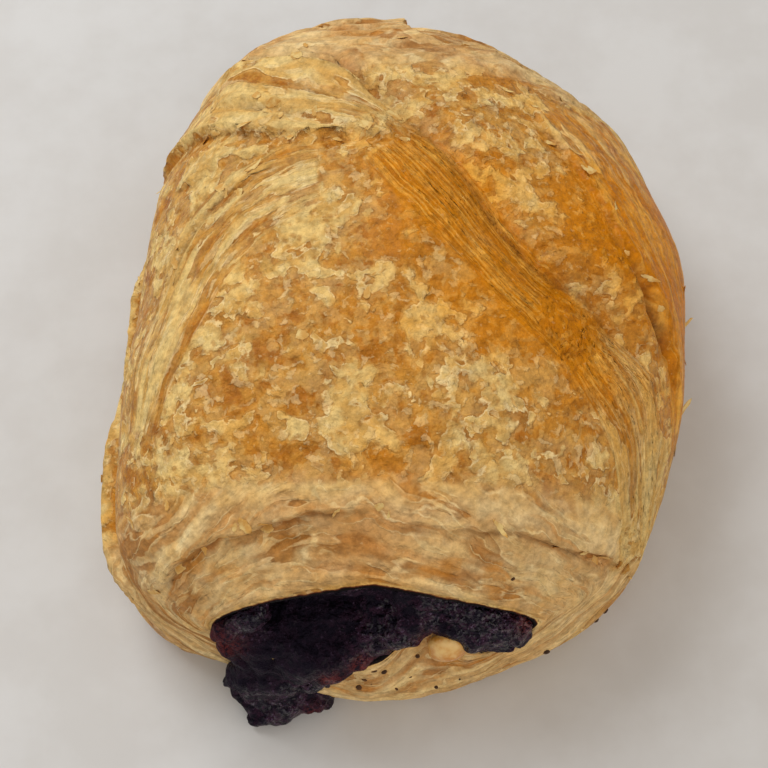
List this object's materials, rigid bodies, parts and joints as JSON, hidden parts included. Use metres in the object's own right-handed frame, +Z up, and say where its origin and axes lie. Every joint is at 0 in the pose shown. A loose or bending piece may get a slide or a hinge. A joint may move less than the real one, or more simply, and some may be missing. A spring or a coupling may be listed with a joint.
{
  "type": "pain au chocolat",
  "caption": "Baked roll of flaky laminated dough round a dark chocolate filling that runs through it and spills from the front mouth.",
  "frame": {"origin": "on the table, under the middle of the whole piece, spill of filling included", "axes": "+Z up, +Y along the roll away from the front mouth, +X to the right seen from the front mouth"},
  "size_m": [0.0887, 0.1151, 0.0488],
  "materials": {
    "crust": "baked laminated dough: golden brown with paler, slightly raised flakes",
    "filling": "dark melted chocolate, semi-gloss and slightly grainy"
  },
  "bodies": {
    "root": {"pastry": "crust", "chocolate_filling": "filling"}
  },
  "joints": []
}
